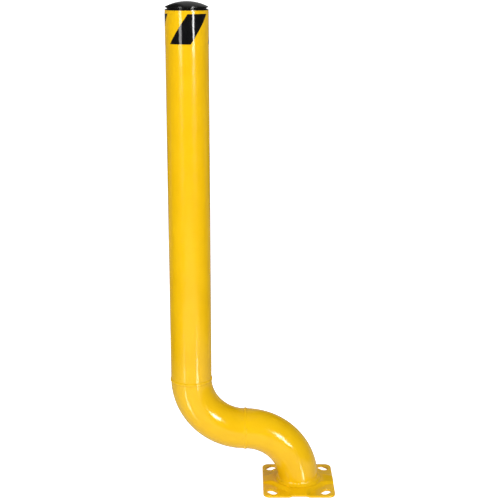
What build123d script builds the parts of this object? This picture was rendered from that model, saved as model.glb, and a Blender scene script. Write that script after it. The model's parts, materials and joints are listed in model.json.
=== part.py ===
"""Offset steel safety bollard: a round post carried on an S-bend above a bolt-down floor plate.

Frame: millimetres, +Z up. The origin is the centre of the floor plate, on the floor. The post stands
two bend radii away from it towards -X, and -Y is the side that the viewer of the bollard faces.
"""

import os
from math import radians, tan

from build123d import *

# ---- driving dimensions -------------------------------------------------------------------------
# 4 inch nominal pipe, with two long-radius 90 degree elbows
pipe_od = 114.3
pipe_wall = 6.02
bend_radius = 152.4
post_length = 1016.0

# floor plate, pressed from one sheet: four flat corner pads round a raised boss with four arms,
# which fall from the boss to the middle of each side
plate_side = 203.2
plate_thickness = 6.35
plate_corner_radius = 19.05
press_height = 8.0
press_slope = 9.0  # how far the pressed sides run outwards as they fall by press_height
boss_radius = 70.0  # of the flat on top of the round boss
arm_width = 38.0  # of the top of each arm where it leaves the boss
arm_end_height = 3.2  # of each arm where it ends in the plate's side
arm_blend = 24.0  # between the boss and an arm, round the top
arm_overrun = 12.7  # of the arms past the plate's side, where the outline then cuts them off
press_top_round = 4.0
press_foot_round = 5.0

# anchor slots, each one square to the diagonal that it sits on
slot_width = 22.2
slot_length = 34.9
slot_spacing = 152.4

# butt welds between pipe ends, and the fillet weld round the foot
weld_land = 1.6  # unbevelled nose of each pipe end
weld_bevel_angle = 37.5
crown_height = 1.7
crown_width = 11.0
fillet_leg = 8.0
fillet_bulge = 0.8
toe_overrun = 0.8  # how far a weld's profile runs on inside the pipe, where the pipe then cuts it off

# hazard tape near the top of the post, and the black stripes in it
tape_thickness = 0.3
tape_height = 84.0
tape_drop = 4.5  # from the post's top edge to the tape's
tape_seam_gap = 1.0
stripe_count = 3
stripe_height = 76.2
stripe_width_angle = 59.2
stripe_twist_angle = 52.0
front_stripe_angle = -81.1  # from +X to the middle of the stripe on the -Y side

# push-in dome cap: flange, neck, overhanging rim and dome above, ribbed plug below
cap_flange_thickness = 2.4
cap_flange_chamfer = 0.8
cap_flange_slope = 1.3
cap_neck_radius = 51.4
cap_neck_top = 5.0
cap_rim_radius = 56.6
cap_rim_height = 7.6
cap_rim_edge = 1.6
cap_height = 23.0
cap_wall = 3.2
plug_length = 34.0
plug_radius = 48.2
plug_rib_clearance = 0.1
plug_rib_count = 12
plug_rib_width = 2.6
plug_lead_in = 5.0
web_thickness = 2.6

# ---- sizes worked out from them -----------------------------------------------------------------
pipe_radius = pipe_od / 2
bore_radius = pipe_radius - pipe_wall
foot_z = plate_thickness + press_height
middle_z = foot_z + bend_radius
knee_z = middle_z + bend_radius
post_top_z = knee_z + post_length
post_x = -2 * bend_radius
bevel_depth = pipe_wall - weld_land
bevel_half_width = bevel_depth * tan(radians(weld_bevel_angle))
tape_seam_angle = front_stripe_angle + 180  # midway between two stripes, at the back
tape_top_z = post_top_z - tape_drop
tape_bottom_z = tape_top_z - tape_height
stripe_bottom_z = tape_bottom_z + (tape_height - stripe_height) / 2
plug_inner_radius = plug_radius - cap_wall
plug_rib_reach = bore_radius - plug_rib_clearance

# planes across the pipe's run, each with its normal along the run
foot_plane = Plane((0, 0, foot_z))
middle_plane = Plane((-bend_radius, 0, middle_z), x_dir=(0, 0, 1), z_dir=(-1, 0, 0))
knee_plane = Plane((post_x, 0, knee_z))
post_top_plane = Plane((post_x, 0, post_top_z))


os.makedirs("parts", exist_ok=True)


def ring_profile(level):
    """A plane that holds the run's axis where it crosses level: its x is radial, its y along the run."""
    return Plane(level.origin, x_dir=level.x_dir, z_dir=-level.y_dir)


# ---- floor plate --------------------------------------------------------------------------------
def press_outline(level, grow):
    """The outline of the raised boss and arms at one level, grown by that much all round."""
    with BuildSketch(Plane.XY.offset(level)) as outline:
        Circle(boss_radius + grow)
        Rectangle(2 * plate_side, arm_width + 2 * grow)
        Rectangle(arm_width + 2 * grow, 2 * plate_side)
        inner = outline.vertices().filter_by(lambda v: max(abs(v.X), abs(v.Y)) < plate_side)
        fillet(inner, arm_blend - grow)
    return outline.sketch


def is_press_edge(edge, level):
    """True for an edge of the raised form at that height, away from the ends of its arms."""
    box = edge.bounding_box()
    flat = abs(box.min.Z - level) < 0.01 and abs(box.max.Z - level) < 0.01
    middle = edge @ 0.5
    return flat and max(abs(middle.X), abs(middle.Y)) < plate_side - 1


def pressed_form(level, top_round):
    """The raised boss and its falling arms, as a solid that stands at one level."""
    top = level + press_height
    arm_end = plate_side / 2
    fall = (press_height - arm_end_height) / (arm_end - boss_radius)
    reach = arm_end + arm_overrun
    with BuildPart() as over_arm:
        with BuildSketch(Plane.XZ):
            with BuildLine():
                Polyline(
                    (boss_radius, top),
                    (reach, top - fall * (reach - boss_radius)),
                    (reach, top + 1),
                    (boss_radius, top + 1),
                    close=True,
                )
            make_face()
        extrude(amount=arm_end, both=True)
    with BuildPart() as form:
        loft([press_outline(level, press_slope), press_outline(top, 0)])
        if top_round > 0:
            fillet(form.edges().filter_by(lambda e: is_press_edge(e, top)), top_round)
        with PolarLocations(0, 4):
            add(over_arm.part, mode=Mode.SUBTRACT)
    return form.part


with BuildPart() as base_plate:
    with BuildSketch():
        Rectangle(2 * plate_side, 2 * plate_side)
    extrude(amount=plate_thickness)
    add(pressed_form(plate_thickness, press_top_round))
    foot_edges = base_plate.edges().filter_by(lambda e: is_press_edge(e, plate_thickness))
    fillet(foot_edges, press_foot_round)
    add(pressed_form(0, 0), mode=Mode.SUBTRACT)
    with BuildSketch():
        RectangleRounded(plate_side, plate_side, plate_corner_radius)
    extrude(amount=foot_z, mode=Mode.INTERSECT)
    for x_side in (-1, 1):
        for y_side in (-1, 1):
            centre = (x_side * slot_spacing / 2, y_side * slot_spacing / 2, 0)
            with BuildSketch(Plane(centre, x_dir=(-y_side, x_side, 0))):
                SlotOverall(slot_length, slot_width)
            extrude(amount=foot_z, mode=Mode.SUBTRACT)
base_plate.part.label = "base_plate"
export_step(base_plate.part, "parts/base_plate.step")


# ---- bends and post -----------------------------------------------------------------------------
def weld_groove(level):
    """The V-shaped ring between two bevelled pipe ends that meet at this plane."""
    with BuildPart() as groove:
        with BuildSketch(ring_profile(level)):
            with BuildLine():
                Polyline(
                    (bore_radius + weld_land, 0),
                    (pipe_radius + bevel_depth, 2 * bevel_half_width),
                    (pipe_radius + bevel_depth, -2 * bevel_half_width),
                    close=True,
                )
            make_face()
        revolve(axis=Axis(level.origin, level.z_dir))
    return groove.part


with BuildPart() as lower_elbow:
    with BuildSketch(foot_plane):
        Circle(pipe_radius)
        Circle(bore_radius, mode=Mode.SUBTRACT)
    revolve(axis=Axis((-bend_radius, 0, foot_z), (0, -1, 0)), revolution_arc=90)
    add(weld_groove(middle_plane), mode=Mode.SUBTRACT)
lower_elbow.part.label = "lower_elbow"
export_step(lower_elbow.part, "parts/lower_elbow.step")

with BuildPart() as upper_elbow:
    with BuildSketch(middle_plane):
        Circle(pipe_radius)
        Circle(bore_radius, mode=Mode.SUBTRACT)
    revolve(axis=Axis((-bend_radius, 0, knee_z), (0, 1, 0)), revolution_arc=90)
    add(weld_groove(middle_plane), mode=Mode.SUBTRACT)
    add(weld_groove(knee_plane), mode=Mode.SUBTRACT)
upper_elbow.part.label = "upper_elbow"
export_step(upper_elbow.part, "parts/upper_elbow.step")

with BuildPart() as post_tube:
    with BuildSketch(knee_plane):
        Circle(pipe_radius)
        Circle(bore_radius, mode=Mode.SUBTRACT)
    extrude(amount=post_length)
    add(weld_groove(knee_plane), mode=Mode.SUBTRACT)
post_tube.part.label = "post_tube"
export_step(post_tube.part, "parts/post_tube.step")


# ---- welds --------------------------------------------------------------------------------------
def butt_weld(level, neighbours):
    """Weld metal that fills the groove between two neighbours and stands proud as a low crown."""
    toe = (pipe_radius - toe_overrun, crown_width / 2)
    toe_below = (toe[0], -toe[1])
    with BuildPart() as weld:
        with BuildSketch(ring_profile(level)):
            with BuildLine():
                ThreePointArc(toe, (pipe_radius + crown_height, 0), toe_below)
                Polyline(toe_below, (bore_radius + weld_land, 0), toe)
            make_face()
        revolve(axis=Axis(level.origin, level.z_dir))
        for neighbour in neighbours:
            add(neighbour.part, mode=Mode.SUBTRACT)
    return weld


elbow_weld = butt_weld(middle_plane, [lower_elbow, upper_elbow])
elbow_weld.part.label = "elbow_weld"
export_step(elbow_weld.part, "parts/elbow_weld.step")

post_weld = butt_weld(knee_plane, [upper_elbow, post_tube])
post_weld.part.label = "post_weld"
export_step(post_weld.part, "parts/post_weld.step")

with BuildPart() as foot_weld:
    with BuildSketch(ring_profile(foot_plane)):
        with BuildLine():
            inner_radius = pipe_radius - pipe_wall / 2
            high = (pipe_radius - toe_overrun, fillet_leg + toe_overrun)
            low = (pipe_radius + fillet_leg, 0)
            belly = (pipe_radius + fillet_leg / 2 + fillet_bulge, fillet_leg / 2 + fillet_bulge)
            ThreePointArc(high, belly, low)
            Polyline(low, (inner_radius, 0), (inner_radius, fillet_leg + toe_overrun), high)
        make_face()
    revolve(axis=Axis.Z)
    add(lower_elbow.part, mode=Mode.SUBTRACT)
foot_weld.part.label = "foot_weld"
export_step(foot_weld.part, "parts/foot_weld.step")


# ---- hazard tape --------------------------------------------------------------------------------
def stripe_cutter(angle):
    """A thick sector, twisted as it rises, that cuts one slanted stripe out of a thin ring."""
    inner = pipe_radius - 5
    outer = pipe_radius + 5
    half_width = stripe_width_angle / 2
    start = angle - stripe_twist_angle / 2
    with BuildSketch(Plane((post_x, 0, stripe_bottom_z))) as sector:
        with BuildLine():
            outer_arc = CenterArc((0, 0), outer, start - half_width, stripe_width_angle)
            inner_arc = CenterArc((0, 0), inner, start - half_width, stripe_width_angle)
            Line(inner_arc @ 0, outer_arc @ 0)
            Line(inner_arc @ 1, outer_arc @ 1)
        make_face()
    return Solid.extrude_linear_with_rotation(
        sector.sketch.face(), (post_x, 0, stripe_bottom_z), (0, 0, stripe_height), stripe_twist_angle
    )


def tape_ring():
    with BuildPart() as ring:
        with BuildSketch(Plane((post_x, 0, tape_bottom_z))):
            Circle(pipe_radius + tape_thickness)
            Circle(pipe_radius, mode=Mode.SUBTRACT)
        extrude(amount=tape_height)
        with BuildSketch(Plane((post_x, 0, tape_bottom_z)).rotated((0, 0, tape_seam_angle))):
            with Locations((pipe_radius, 0)):
                Rectangle(4, tape_seam_gap)
        extrude(amount=tape_height, mode=Mode.SUBTRACT)
    return ring.part


cutters = [stripe_cutter(front_stripe_angle + 360 / stripe_count * turn) for turn in range(stripe_count)]

with BuildPart() as hazard_tape:
    add(tape_ring())
    add(cutters, mode=Mode.SUBTRACT)
hazard_tape.part.label = "hazard_tape"
export_step(hazard_tape.part, "parts/hazard_tape.step")

with BuildPart() as hazard_stripes:
    add(cutters)
    add(tape_ring(), mode=Mode.INTERSECT)
hazard_stripes.part.label = "hazard_stripes"
export_step(hazard_stripes.part, "parts/hazard_stripes.step")


# ---- dome cap -----------------------------------------------------------------------------------
def dome_arc(rise, edge_radius, edge_height):
    """An arc from the axis out to the edge of a dome, in the cap's half-plane."""
    drop = rise - edge_height
    sphere = (edge_radius**2 + drop**2) / (2 * drop)
    middle_radius = edge_radius / 2
    middle_height = rise - sphere + (sphere**2 - middle_radius**2) ** 0.5
    return ThreePointArc((0, rise), (middle_radius, middle_height), (edge_radius, edge_height))


post_axis = Axis((post_x, 0, 0), (0, 0, 1))

with BuildPart() as cap_body:
    with BuildSketch(ring_profile(post_top_plane)):
        with BuildLine():
            dome_arc(cap_height, cap_rim_radius, cap_rim_height + cap_rim_edge)
            Polyline(
                (cap_rim_radius, cap_rim_height + cap_rim_edge),
                (cap_rim_radius, cap_rim_height),
                (cap_neck_radius, cap_neck_top),
                (cap_neck_radius, cap_flange_thickness + cap_flange_slope),
                (pipe_radius - cap_flange_chamfer, cap_flange_thickness),
                (pipe_radius, cap_flange_thickness - cap_flange_chamfer),
                (pipe_radius, 0),
                (plug_radius, 0),
                (plug_radius, -plug_length),
                (0, -plug_length),
                (0, cap_height),
            )
        make_face()
    revolve(axis=post_axis)

with BuildPart() as cap_hollow:
    with BuildSketch(ring_profile(post_top_plane)):
        with BuildLine():
            dome_arc(cap_height - cap_wall, plug_inner_radius, cap_rim_height - cap_wall)
            Polyline(
                (plug_inner_radius, cap_rim_height - cap_wall),
                (plug_inner_radius, -plug_length),
                (0, -plug_length),
                (0, cap_height - cap_wall),
            )
        make_face()
    revolve(axis=post_axis)

with BuildPart() as cap_webs:
    with BuildSketch(post_top_plane.offset(-plug_length)):
        Rectangle(2 * plug_inner_radius + cap_wall, web_thickness)
        Rectangle(web_thickness, 2 * plug_inner_radius + cap_wall)
    extrude(amount=plug_length + cap_height)
    add(cap_body.part, mode=Mode.INTERSECT)

with BuildPart() as crush_rib:
    with BuildSketch(Plane.XZ):
        with BuildLine():
            Polyline(
                (plug_radius - cap_wall / 2, 0),
                (plug_rib_reach, 0),
                (plug_rib_reach, plug_lead_in - plug_length),
                (plug_radius, -plug_length),
                (plug_radius - cap_wall / 2, -plug_length),
                close=True,
            )
        make_face()
    extrude(amount=plug_rib_width / 2, both=True)

with BuildPart() as dome_cap:
    add(cap_body.part)
    add(cap_hollow.part, mode=Mode.SUBTRACT)
    add(cap_webs.part)
    with Locations(post_top_plane):
        with PolarLocations(0, plug_rib_count):
            add(crush_rib.part)
dome_cap.part.label = "dome_cap"
export_step(dome_cap.part, "parts/dome_cap.step")
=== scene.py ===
import json
import math

import bmesh
import bpy
from mathutils import Euler, Matrix, Vector, geometry, noise


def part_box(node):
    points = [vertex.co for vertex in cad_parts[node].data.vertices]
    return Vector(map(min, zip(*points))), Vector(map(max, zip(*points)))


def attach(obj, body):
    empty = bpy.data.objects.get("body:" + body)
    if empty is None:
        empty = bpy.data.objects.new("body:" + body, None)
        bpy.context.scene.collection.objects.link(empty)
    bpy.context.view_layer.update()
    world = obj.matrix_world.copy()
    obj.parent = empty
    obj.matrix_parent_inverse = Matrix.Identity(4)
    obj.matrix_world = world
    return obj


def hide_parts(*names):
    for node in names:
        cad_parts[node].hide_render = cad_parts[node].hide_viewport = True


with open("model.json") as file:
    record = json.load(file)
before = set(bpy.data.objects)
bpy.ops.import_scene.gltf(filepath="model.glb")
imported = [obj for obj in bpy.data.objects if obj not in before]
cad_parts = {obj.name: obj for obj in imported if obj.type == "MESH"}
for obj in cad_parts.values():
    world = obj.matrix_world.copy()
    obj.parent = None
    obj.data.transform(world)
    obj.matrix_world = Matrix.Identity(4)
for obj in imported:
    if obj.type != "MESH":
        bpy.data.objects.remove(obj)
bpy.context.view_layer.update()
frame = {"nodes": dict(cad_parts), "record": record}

MM = 0.001

# ---- sizes read from the frame --------------------------------------------------------------------
post_low, post_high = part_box("post_tube")
pipe_radius = (post_high.x - post_low.x) / 2
post_x = (post_high.x + post_low.x) / 2
bend_radius = -post_x / 2
foot_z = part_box("lower_elbow")[0].z
knee_z = post_low.z
middle_z = (foot_z + knee_z) / 2

# ---- floor plate: the pressed sheet that stands for the CAD plate -----------------------------------
plate_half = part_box("base_plate")[1].x
sheet_thickness = 6.35 * MM
sheet_edge_round = 0.9 * MM
plate_corner_radius = 19.05 * MM
press_height = foot_z - sheet_thickness
press_run = 11 * MM  # how far the pressed sides run outwards as they fall
boss_radius = 69 * MM
arm_half_width = 18.5 * MM
arm_blend = 26 * MM
arm_end_share = 0.4  # of the press height, where an arm ends in the plate's side
slot_half_width = 11.1 * MM
slot_half_length = 17.45 * MM
slot_offset = 76.2 * MM
plate_grid = 2.4 * MM  # between the sheet's inner points
plate_side_steps = 66
plate_corner_steps = 16
slot_side_steps = 6
slot_end_steps = 22
edge_steps = 4

# ---- weld beads: sizes that only the looks need ---------------------------------------------------
bead_width = 9.8 * MM
post_crown = 1.7 * MM
elbow_crown = 0.9 * MM
elbow_crown_extra = 1.9 * MM  # at the top of the ring, where the bead is fuller
elbow_crown_focus = 8  # how quickly that fades away from the top
bead_sink = 0.5 * MM  # how deep a bead's toes lie under the pipe's surface
bead_root = 4.0 * MM  # how deep the middle of a butt weld reaches
fillet_root = 3.0 * MM  # how deep the inner side of the foot weld lies in the elbow's wall
fillet_leg = 8.6 * MM  # how far the foot weld reaches out over the plate
fillet_rise = 10.3 * MM  # how far it climbs up the elbow
fillet_hollow = 1.1 * MM  # how far its face is sunk, deepest at the knee
fillet_knee = 0.4  # of the way down the face
fillet_rise_waver = 0.09  # of its size, as it varies round the ring
fillet_rise_pitch = 12 * MM  # the length of one such variation
fillet_leg_waver = 0.11
fillet_leg_pitch = 10 * MM
bead_waver = 0.10
bead_waver_pitch = 11 * MM
bead_wander = 0.35 * MM  # of its middle, to either side
bead_wander_pitch = 16 * MM
ripple_pitch = 3.4 * MM
ripple_height = 0.2 * MM
ripple_drift = 0.9  # of a pitch, so that the ripples aren't even
ripple_drift_pitch = 9 * MM
ripple_bow = 0.55  # of a pitch, how far a ripple's middle leads its ends
ripple_sharpness = 1.4
lump_height = 0.75 * MM
lump_length = 4.2 * MM
seed_spacing = 7.3  # between the slices of noise that two seeds see
ring_steps = 900
bead_columns = 18


# ---- materials ------------------------------------------------------------------------------------
plastic_ior = 1.5  # of the powder coat, the vinyl and the cap


class Shader:
    """A short way to write one material's node tree round a Principled BSDF."""

    def __init__(self, name):
        self.material = bpy.data.materials.new(name)
        self.material.use_nodes = True
        self.tree = self.material.node_tree
        self.bsdf = self.tree.nodes["Principled BSDF"]
        self.place = self.node("ShaderNodeTexCoord").outputs["Object"]

    def node(self, kind, settings=None, inputs=None):
        made = self.tree.nodes.new(kind)
        for key, value in (settings or {}).items():
            setattr(made, key, value)
        for key, value in (inputs or {}).items():
            if isinstance(value, bpy.types.NodeSocket):
                self.tree.links.new(value, made.inputs[key])
            else:
                made.inputs[key].default_value = value
        return made

    def noise(self, per_metre, detail=2.0, rough=0.5, stretch=None):
        place = self.place
        if stretch:
            inputs = {"Vector": place, "Scale": stretch}
            place = self.node("ShaderNodeMapping", {}, inputs).outputs[0]
        inputs = {"Vector": place, "Scale": per_metre, "Detail": detail, "Roughness": rough}
        return self.node("ShaderNodeTexNoise", {}, inputs).outputs["Fac"]

    def maths(self, operation, first, second=0.0):
        settings = {"operation": operation}
        return self.node("ShaderNodeMath", settings, {0: first, 1: second}).outputs[0]

    def remap(self, value, low, high, to_low, to_high):
        spans = {"From Min": low, "From Max": high, "To Min": to_low, "To Max": to_high}
        made = self.node("ShaderNodeMapRange", {"clamp": True}, {"Value": value, **spans})
        return made.outputs["Result"]

    def mix(self, factor, first, second):
        made = self.node("ShaderNodeMix", {"data_type": "RGBA"})
        self.tree.links.new(factor, made.inputs["Factor"])
        for socket, value in ((made.inputs["A"], first), (made.inputs["B"], second)):
            if isinstance(value, bpy.types.NodeSocket):
                self.tree.links.new(value, socket)
            else:
                socket.default_value = (*value, 1)
        return made.outputs["Result"]

    def bump(self, height, depth, below=None):
        inputs = {"Height": height, "Strength": 1.0, "Distance": depth}
        if below:
            inputs["Normal"] = below
        return self.node("ShaderNodeBump", {}, inputs).outputs["Normal"]

    def link(self, socket, value):
        self.tree.links.new(value, self.bsdf.inputs[socket])

    def fix(self, **values):
        for key, value in values.items():
            self.bsdf.inputs[key.replace("_", " ")].default_value = value


def powder_coat():
    """Gloss powder coat: fine orange peel over slow waves, and slightly uneven film thickness."""
    s = Shader("powder_coat_finish")
    film = s.remap(s.noise(14, 3), 0.35, 0.65, 0, 1)
    s.link("Base Color", s.mix(film, (0.86, 0.495, 0.003), (0.89, 0.525, 0.005)))
    s.link("Roughness", s.remap(s.noise(45, 4), 0.3, 0.7, 0.11, 0.18))
    waves = s.bump(s.noise(60, 2, 0.5, (1, 1, 0.3)), 0.45 * MM)
    peel = s.bump(s.noise(420, 2), 0.06 * MM, waves)
    s.link("Normal", peel)
    s.fix(IOR=plastic_ior)
    return s.material


def tape_vinyl(name, base, lift):
    """Smooth printed vinyl: glossier than the coat, with a slow ripple where it was laid on."""
    s = Shader(name)
    tone = s.remap(s.noise(60, 3), 0.35, 0.65, 0, 1)
    s.link("Base Color", s.mix(tone, base, lift))
    s.link("Roughness", s.remap(s.noise(180, 3), 0.3, 0.7, 0.07, 0.13))
    s.link("Normal", s.bump(s.noise(70, 3, 0.5, (1, 1, 0.45)), 0.22 * MM))
    s.fix(IOR=plastic_ior)
    return s.material


def cap_plastic():
    """Black moulded plastic with a fine, even spark-eroded grain."""
    s = Shader("cap_moulded_plastic")
    tone = s.remap(s.noise(40, 4), 0.35, 0.65, 0, 1)
    s.link("Base Color", s.mix(tone, (0.0075, 0.0075, 0.007), (0.011, 0.011, 0.0105)))
    s.link("Roughness", s.remap(s.noise(150, 3), 0.3, 0.7, 0.14, 0.20))
    s.link("Normal", s.bump(s.noise(1500, 2), 0.05 * MM))
    s.fix(IOR=plastic_ior)
    return s.material


coat = powder_coat()
finishes = {
    "powder_coat": coat,
    "tape_yellow": tape_vinyl("tape_yellow_vinyl", (0.87, 0.50, 0.003), (0.90, 0.53, 0.005)),
    "tape_black": tape_vinyl("tape_black_vinyl", (0.0035, 0.0035, 0.0042), (0.0055, 0.0055, 0.006)),
    "cap_plastic": cap_plastic(),
}
for part in frame["record"]["subparts"]:
    mesh = frame["nodes"][part["node"]].data
    mesh.materials.clear()
    mesh.materials.append(finishes[part["material_slot"]])


# ---- pressed floor plate --------------------------------------------------------------------------
def smooth_step(value):
    """0 below 0, 1 above 1, and an S-curve between."""
    value = min(max(value, 0.0), 1.0)
    return value * value * (3 - 2 * value)


def smooth_min(first, second, blend):
    """The smaller of two distances, rounded where they are alike."""
    share = max(blend - abs(first - second), 0) / blend
    return min(first, second) - share * share * blend / 4


def press_rise(x, y):
    """How high the boss and the arms stand above the corner pads at one place."""
    along, across = max(abs(x), abs(y)), min(abs(x), abs(y))
    outside = smooth_min(math.hypot(x, y) - boss_radius, across - arm_half_width, arm_blend)
    fallen = smooth_step((along - boss_radius) / (plate_half - boss_radius))
    return press_height * smooth_step(1 - outside / press_run) * (1 - (1 - arm_end_share) * fallen)


def arc_points(centre, radius, start, sweep, steps):
    """Points of an arc with their outward directions, without the last one."""
    for step in range(steps):
        angle = start + sweep * step / steps
        out = Vector((math.cos(angle), math.sin(angle)))
        yield centre + radius * out, out


def loop_of_arcs(centres, radius, straight_steps, arc_steps):
    """A closed outline round some centres, with an arc at each and straight runs between them."""
    count = len(centres)
    loop = []
    for k, centre in enumerate(centres):
        before, after = centres[k - 1], centres[(k + 1) % count]
        start = math.atan2(centre.y - before.y, centre.x - before.x) - math.pi / 2
        sweep = 2 * math.pi / count
        loop += list(arc_points(centre, radius, start, sweep, arc_steps))
        end = start + sweep
        out = Vector((math.cos(end), math.sin(end)))
        loop += [(centre + radius * out + (after - centre) * step / straight_steps, out)
                 for step in range(straight_steps)]
    return loop


def slot_frame(x_side, y_side):
    """A slot's centre and the direction of its length, which is square to the plate's diagonal."""
    centre = Vector((x_side * slot_offset, y_side * slot_offset))
    return centre, Vector((-y_side, x_side)).normalized()


slots = [slot_frame(x_side, y_side) for x_side in (-1, 1) for y_side in (-1, 1)]


def in_slot(point, margin):
    for centre, direction in slots:
        reach = slot_half_length - slot_half_width
        along = min(max((point - centre).dot(direction), -reach), reach)
        if (point - centre - along * direction).length < slot_half_width + margin:
            return True
    return False


def in_outline(point, margin):
    corner = plate_half - plate_corner_radius
    x, y = max(abs(point.x) - corner, 0), max(abs(point.y) - corner, 0)
    return math.hypot(x, y) < plate_corner_radius - margin


def plate_loops():
    """The outline and the four slots, each as points on the flat top and their ways over the edge."""
    corner = plate_half - plate_corner_radius
    corners = [Vector((corner * x, corner * y)) for x, y in ((1, -1), (1, 1), (-1, 1), (-1, -1))]
    radius = plate_corner_radius - sheet_edge_round
    loops = [loop_of_arcs(corners, radius, plate_side_steps, plate_corner_steps)]
    for centre, direction in slots:
        reach = (slot_half_length - slot_half_width) * direction
        radius = slot_half_width + sheet_edge_round
        ends = loop_of_arcs([centre - reach, centre + reach], radius, slot_side_steps, slot_end_steps)
        loops.append([(point, -out) for point, out in ends])
    return loops


def edge_profile():
    """Steps over the sheet's edge, from its top to its bottom: (out, down) pairs."""
    turns = [math.pi / 2 * k / edge_steps for k in range(edge_steps + 1)]
    upper = [(sheet_edge_round * math.sin(a), sheet_edge_round * (1 - math.cos(a))) for a in turns]
    return upper + [(out, sheet_thickness - down) for out, down in reversed(upper)]


def pressed_plate():
    """Points and faces of the sheet: two pressed skins, with rounded edges between them."""
    loops = plate_loops()
    flat = [point for loop in loops for point, _ in loop]
    rims = []
    start = 0
    for loop in loops:
        ring = list(range(start, start + len(loop)))
        rims += list(zip(ring, ring[1:] + ring[:1]))
        start += len(loop)
    last = int(plate_half / plate_grid)
    spots = [k * plate_grid for k in range(-last, last + 1)]
    margin = sheet_edge_round + plate_grid / 2
    for x in spots:
        for y in spots:
            spot = Vector((x, y))
            if in_outline(spot, margin) and not in_slot(spot, margin):
                flat.append(spot)
    made, _, triangles, came_from, _, _ = geometry.delaunay_2d_cdt(flat, rims, [], 1, 1e-7)
    where = {old: new for new, olds in enumerate(came_from) for old in olds}
    middles = [sum((made[k] for k in face), Vector((0, 0))) / 3 for face in triangles]
    sheet = [face for face, middle in zip(triangles, middles) if not in_slot(middle, 0)]

    top = [Vector((x, y, sheet_thickness + press_rise(x, y))) for x, y in made]
    points = top + [point - Vector((0, 0, sheet_thickness)) for point in top]
    faces = [list(face) for face in sheet]
    faces += [[k + len(top) for k in reversed(face)] for face in sheet]
    profile = edge_profile()
    start = 0
    for loop in loops:
        rows = [[where[start + k] for k in range(len(loop))]]
        for out, down in profile[1:-1]:
            rows.append(list(range(len(points), len(points) + len(loop))))
            for k, (_, way) in enumerate(loop):
                base = top[rows[0][k]]
                points.append(base + Vector((way.x * out, way.y * out, -down)))
        rows.append([k + len(top) for k in rows[0]])
        for upper, lower in zip(rows, rows[1:]):
            for k in range(len(loop)):
                faces.append([upper[k - 1], upper[k], lower[k], lower[k - 1]])
        start += len(loop)
    return points, faces


def new_piece(name, points, faces, finish):
    mesh = bpy.data.meshes.new(name)
    mesh.from_pydata(points, [], faces)
    mesh.materials.append(finish)
    tidy = bmesh.new()
    tidy.from_mesh(mesh)
    bmesh.ops.recalc_face_normals(tidy, faces=tidy.faces)
    tidy.to_mesh(mesh)
    tidy.free()
    mesh.polygons.foreach_set("use_smooth", [True] * len(mesh.polygons))
    piece = bpy.data.objects.new(name, mesh)
    bpy.context.collection.objects.link(piece)
    return piece


plate = new_piece("pressed_plate", *pressed_plate(), coat)
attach(plate, "bollard")
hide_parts("base_plate")


# ---- weld beads -----------------------------------------------------------------------------------
def ring_noise(turn, length, seed):
    """Noise along a closed ring, which meets itself at the end."""
    reach = pipe_radius / length
    return noise.noise(Vector((math.cos(turn) * reach, math.sin(turn) * reach, seed * seed_spacing)))


def ripple(turn, across, seed):
    """Height of the crescent ripples and the lumps at one place on a bead; across runs from -1 to 1."""
    count = round(2 * math.pi * pipe_radius / ripple_pitch)
    drift = ripple_drift * ring_noise(turn, ripple_drift_pitch, seed)
    phase = turn * count + 2 * math.pi * (drift - ripple_bow * across * across)
    crest = (0.5 + 0.5 * math.cos(phase)) ** ripple_sharpness
    lumps = ring_noise(turn, lump_length, seed + 3) * lump_height
    return (crest * ripple_height + lumps) * (1 - across**4)


def ring_mesh(name, sections, place, finish):
    """A closed ring: sections(turn) gives its outline there, as (out, along) pairs."""
    points = []
    for step in range(ring_steps):
        turn = 2 * math.pi * step / ring_steps
        points.extend(place(turn, out, along) for out, along in sections(turn))
    size = len(points) // ring_steps
    faces = []
    for step in range(ring_steps):
        for k in range(size):
            here, there = step * size, ((step + 1) % ring_steps) * size
            after = (k + 1) % size
            faces.append((here + k, there + k, there + after, here + after))
    return new_piece(name, points, faces, finish)


def butt_sections(seed, crown):
    """The outline of a butt weld: a flat crown, crown(turn) high, with its root in the pipe's wall."""
    def sections(turn):
        width = bead_width / 2 * (1 + bead_waver * ring_noise(turn, bead_waver_pitch, seed))
        centre = bead_wander * ring_noise(turn, bead_wander_pitch, seed + 5)
        outline = []
        for column in range(bead_columns + 1):
            across = 2 * column / bead_columns - 1
            rise = (crown(turn) + bead_sink) * (1 - across**4) - bead_sink
            outline.append((pipe_radius + rise + ripple(turn, across, seed), centre + across * width))
        outline.append((pipe_radius - bead_root, 0))
        return outline

    return sections


def foot_sections(turn):
    """The outline of the fillet weld, from its toe on the elbow to its toe on the plate."""
    seed = 11
    outline = []
    leg = fillet_rise * (1 + fillet_rise_waver * ring_noise(turn, fillet_rise_pitch, seed))
    foot = fillet_leg * (1 + fillet_leg_waver * ring_noise(turn, fillet_leg_pitch, seed + 2))
    for column in range(bead_columns + 1):
        share = column / bead_columns
        across = 2 * share - 1
        dip = fillet_hollow * min(share / fillet_knee, (1 - share) / (1 - fillet_knee))
        swell = ripple(turn, across, seed) * math.sqrt(0.5) - dip
        out = pipe_radius - bead_sink + (foot + bead_sink) * share + swell
        along = leg - (leg + bead_sink) * share + swell
        outline.append((out, along))
    outline.append((pipe_radius - fillet_root, -bead_sink))
    outline.append((pipe_radius - fillet_root, leg))
    return outline


def level_place(x, z):
    """Places a ring round an upright pipe, seen from the pipe's axis at (x, 0, z)."""
    return lambda turn, out, along: (x + out * math.cos(turn), out * math.sin(turn), z + along)


def upright_place(x, z):
    """Places a ring round a level pipe that runs along X."""
    return lambda turn, out, along: (x + along, out * math.cos(turn), z + out * math.sin(turn))


def even_crown(_):
    """The same height all round."""
    return post_crown


def topped_crown(turn):
    """Low all round and fuller at the top of the ring."""
    return elbow_crown + elbow_crown_extra * max(math.sin(turn), 0) ** elbow_crown_focus


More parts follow.
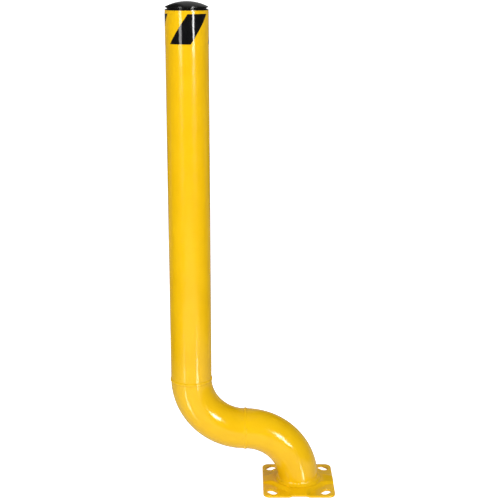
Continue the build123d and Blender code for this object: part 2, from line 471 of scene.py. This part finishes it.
beads = [
    ("foot_weld_bead", "foot_weld", foot_sections, level_place(0, foot_z)),
    ("elbow_weld_bead", "elbow_weld", butt_sections(23, topped_crown),
     upright_place(-bend_radius, middle_z)),
    ("post_weld_bead", "post_weld", butt_sections(31, even_crown), level_place(post_x, knee_z)),
]
for bead_name, node, sections, place in beads:
    bead = ring_mesh(bead_name, sections, place, coat)
    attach(bead, "bollard")
    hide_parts(node)


# ---- stage, light and camera ----------------------------------------------------------------------
# all in metres; the paper sheet and how bright it is
sheet_front, sheet_bend_start, sheet_side = -6.0, 3.0, 8.0
sheet_bend = 2.0
sheet_top = 8.0
sheet_drop = 0.2 * MM  # so that it doesn't share a plane with the plate's underside
bend_steps = 12
panel_distance = 3.1
white_level = 0.9  # how bright the paper and the background are to the camera
fill_level = 0.3  # of the world, as the light that falls from all sides
# the lit stretch of paper, as reflections see it: where it fades, and how bright it is
glow_middle_x = -0.15
glow_inner, glow_outer = 0.85, 1.25  # from its middle, to each side
glow_level = 0.75
glow_full_y = -1.5  # it grows from nothing at the sheet's front to its full level here
glow_dims_from_y, glow_dims_to_y = -0.4, 0.6
glow_dimmed = 0.35  # of its level, behind the set
far_glow_from_y, far_glow_to_y = 0.3, 2.0  # a wider and weaker glow that grows behind the set
far_glow_level = 0.25
# reflections don't see under the floor from the post's outer side to the plate's middle
hidden_middle_x = -0.19
hidden_half_width = 0.19

# the light boxes and the fill light that stand round the post
left_azimuth, right_azimuth, back_azimuth = -31, 36.5, 185  # degrees, as in around_post
box_height = 1.33
fill_height = 0.8
fill_size = (1.2, 1.2)


def stage_paper():
    """White paper.

    A reflection sees a soft glow where the set is lit, and through the paper to what is mirrored
    in the floor on both sides of the set.
    """
    s = Shader("stage_paper")
    rays = s.node("ShaderNodeLightPath").outputs
    x, y, _ = s.node("ShaderNodeSeparateXYZ", {}, {"Vector": s.place}).outputs

    def off(middle):
        return s.maths("ABSOLUTE", s.maths("SUBTRACT", x, middle))

    beside = s.remap(off(glow_middle_x), glow_inner, glow_outer, glow_level, 0)
    before = s.remap(y, sheet_front, glow_full_y, 0, 1)
    beyond = s.remap(y, glow_dims_from_y, glow_dims_to_y, 1, glow_dimmed)
    sheet = s.maths("MULTIPLY", s.maths("MULTIPLY", beside, before), beyond)
    level = s.maths("LESS_THAN", y, sheet_bend_start)
    behind = s.remap(y, far_glow_from_y, far_glow_to_y, 0, far_glow_level)
    glow = s.maths("MAXIMUM", sheet, s.maths("MULTIPLY", behind, level))
    s.link("Emission Strength", s.maths("MULTIPLY", rays["Is Camera Ray"], white_level))
    s.link("Base Color", s.mix(s.noise(3, 2), (0.84, 0.84, 0.84), (0.86, 0.86, 0.86)))
    s.fix(Roughness=0.6, Emission_Color=(1, 1, 1, 1))
    open_sides = s.maths("GREATER_THAN", off(hidden_middle_x), hidden_half_width)
    clear = s.node("ShaderNodeBsdfTransparent", {}, {"Color": open_sides}).outputs[0]
    light = s.node("ShaderNodeEmission", {}, {"Strength": glow}).outputs[0]
    mirrored = s.node("ShaderNodeAddShader", {}, {0: clear, 1: light}).outputs[0]
    inputs = {0: rays["Is Glossy Ray"], 1: s.bsdf.outputs[0], 2: mirrored}
    both = s.node("ShaderNodeMixShader", {}, inputs).outputs[0]
    s.tree.links.new(both, s.tree.nodes["Material Output"].inputs["Surface"])
    return s.material


def stage_sheet():
    """A pale sheet that lies on the floor and curves up far behind."""
    rows = [(sheet_front, 0.0), (sheet_bend_start, 0.0)]
    for k in range(1, bend_steps + 1):
        angle = math.pi / 2 * k / bend_steps
        out, up = sheet_bend * math.sin(angle), sheet_bend * (1 - math.cos(angle))
        rows.append((sheet_bend_start + out, up))
    rows.append((sheet_bend_start + sheet_bend, sheet_top))
    points = [(x, y, z - sheet_drop) for y, z in rows for x in (-sheet_side, sheet_side)]
    faces = [(2 * k, 2 * k + 1, 2 * k + 3, 2 * k + 2) for k in range(len(rows) - 1)]
    mesh = bpy.data.meshes.new("stage_sheet")
    mesh.from_pydata(points, [], faces)
    mesh.polygons.foreach_set("use_smooth", [True] * len(faces))
    sheet = bpy.data.objects.new("stage_sheet", mesh)
    bpy.context.collection.objects.link(sheet)
    sheet.data.materials.append(stage_paper())


def area_light(name, position, target, size, watts):
    data = bpy.data.lights.new(name, "AREA")
    data.shape = "RECTANGLE"
    data.size, data.size_y = size
    data.energy = watts
    light = bpy.data.objects.new(name, data)
    light.location = position
    light.rotation_euler = (Vector(target) - Vector(position)).to_track_quat("-Z", "Y").to_euler()
    bpy.context.collection.objects.link(light)
    return light


def around_post(azimuth, distance, z):
    """A point round the post; azimuth in degrees from -Y towards +X."""
    angle = math.radians(azimuth)
    return (post_x + distance * math.sin(angle), -distance * math.cos(angle), z)


def panel(name, azimuth, height, size, radiance, mirrored):
    """A panel that stands round the post and faces it.

    radiance is its brightness, and mirrored is whether reflections see it.
    """
    watts = radiance * math.pi * size[0] * size[1]
    position = around_post(azimuth, panel_distance, height)
    light = area_light(name, position, (post_x, 0, height), size, watts)
    light.visible_glossy = mirrored


def studio_world():
    """Even fill light, white to the camera.

    A reflection sees a soft glow behind the set, the left box mirrored low in the floor, and some
    light under the right box.
    """
    world = bpy.data.worlds.new("studio")
    world.use_nodes = True
    nodes, links = world.node_tree.nodes, world.node_tree.links

    def maths(operation, *values):
        made = nodes.new("ShaderNodeMath")
        made.operation = operation
        for socket, value in zip(made.inputs, values):
            if isinstance(value, bpy.types.NodeSocket):
                links.new(value, socket)
            else:
                socket.default_value = value
        return made.outputs[0]

    def ramp(value, low, high, to_low, to_high):
        made = nodes.new("ShaderNodeMapRange")
        links.new(value, made.inputs["Value"])
        spans = {"From Min": low, "From Max": high, "To Min": to_low, "To Max": to_high}
        for key, span in spans.items():
            made.inputs[key].default_value = span
        return made.outputs["Result"]

    way = nodes.new("ShaderNodeSeparateXYZ")
    links.new(nodes.new("ShaderNodeTexCoord").outputs["Generated"], way.inputs[0])
    x, y, z = way.outputs
    turn = maths("ARCTAN2", x, maths("MULTIPLY", y, -1.0))
    rise = maths("ARCSINE", z)

    def strip(azimuth, core, width, strength):
        """An upright strip at one azimuth, even as far as its core and gone at its width."""
        off = maths("ABSOLUTE", maths("SUBTRACT", turn, math.radians(azimuth)))
        return maths("MULTIPLY", ramp(off, math.radians(core), math.radians(width), 1, 0), strength)

    def between(lowest, low, high, highest):
        """One between two elevations, with a soft edge below and above."""
        starts = ramp(rise, math.radians(lowest), math.radians(low), 0, 1)
        return maths("MULTIPLY", starts, ramp(rise, math.radians(high), math.radians(highest), 1, 0))

    reflection = maths("MULTIPLY", strip(-37, 0, 4, 17), between(-44, -35, -27, -19))
    skirt = maths("MULTIPLY", strip(34, 3.5, 5.5, 28), between(5, 8, 17, 19))
    above = maths("MULTIPLY", ramp(y, 0.0, 0.8, 0.05, 0.25), between(-10, -4, 3, 24))
    rays = nodes.new("ShaderNodeLightPath").outputs
    pick = nodes.new("ShaderNodeMix")
    links.new(ramp(rays["Is Camera Ray"], 0, 1, fill_level, white_level), pick.inputs["A"])
    links.new(rays["Is Glossy Ray"], pick.inputs["Factor"])
    links.new(maths("ADD", maths("ADD", above, reflection), skirt), pick.inputs["B"])
    links.new(pick.outputs["Result"], nodes["Background"].inputs["Strength"])
    nodes["Background"].inputs["Color"].default_value = (1, 1, 1, 1)
    bpy.context.scene.world = world


def lighting():
    """Two boxes that reflections see, one of them again mirrored in the floor, and plain fill light."""
    panel("softbox_right", right_azimuth, box_height, (0.5, 0.55), 26, True)
    panel("softbox_right_in_floor", right_azimuth, -1.15, (0.44, 0.8), 15, True)
    panel("softbox_left", left_azimuth, box_height, (0.7, 0.6), 8, True)
    panel("fill_right", right_azimuth, fill_height, fill_size, 3.95, False)
    panel("fill_left", left_azimuth, fill_height, fill_size, 8.5, False)
    panel("fill_behind", back_azimuth, 2 * fill_height, fill_size, 4, False)
    overhead = area_light("overhead", (-0.2, -0.3, 3.2), (-0.2, -0.3, 0), (1.6, 1.6), 21)
    overhead.visible_glossy = False
    studio_world()


def camera():
    """The camera of the main view, solved from the pipe's size."""
    data = bpy.data.cameras.new("camera")
    data.lens = 76.86
    data.sensor_width = 36
    eye = bpy.data.objects.new("camera", data)
    eye.location = (-0.1506, -2.8336, 1.4215)
    pitch, yaw, roll = math.radians(14.41), math.radians(0.22), math.radians(0.08)
    level = Euler((math.pi / 2 - pitch, 0, -yaw)).to_matrix()
    eye.rotation_euler = (level @ Matrix.Rotation(roll, 3, "Z")).to_euler()
    bpy.context.collection.objects.link(eye)
    bpy.context.scene.camera = eye


stage_sheet()
lighting()
camera()
bpy.context.scene.view_settings.view_transform = "Standard"
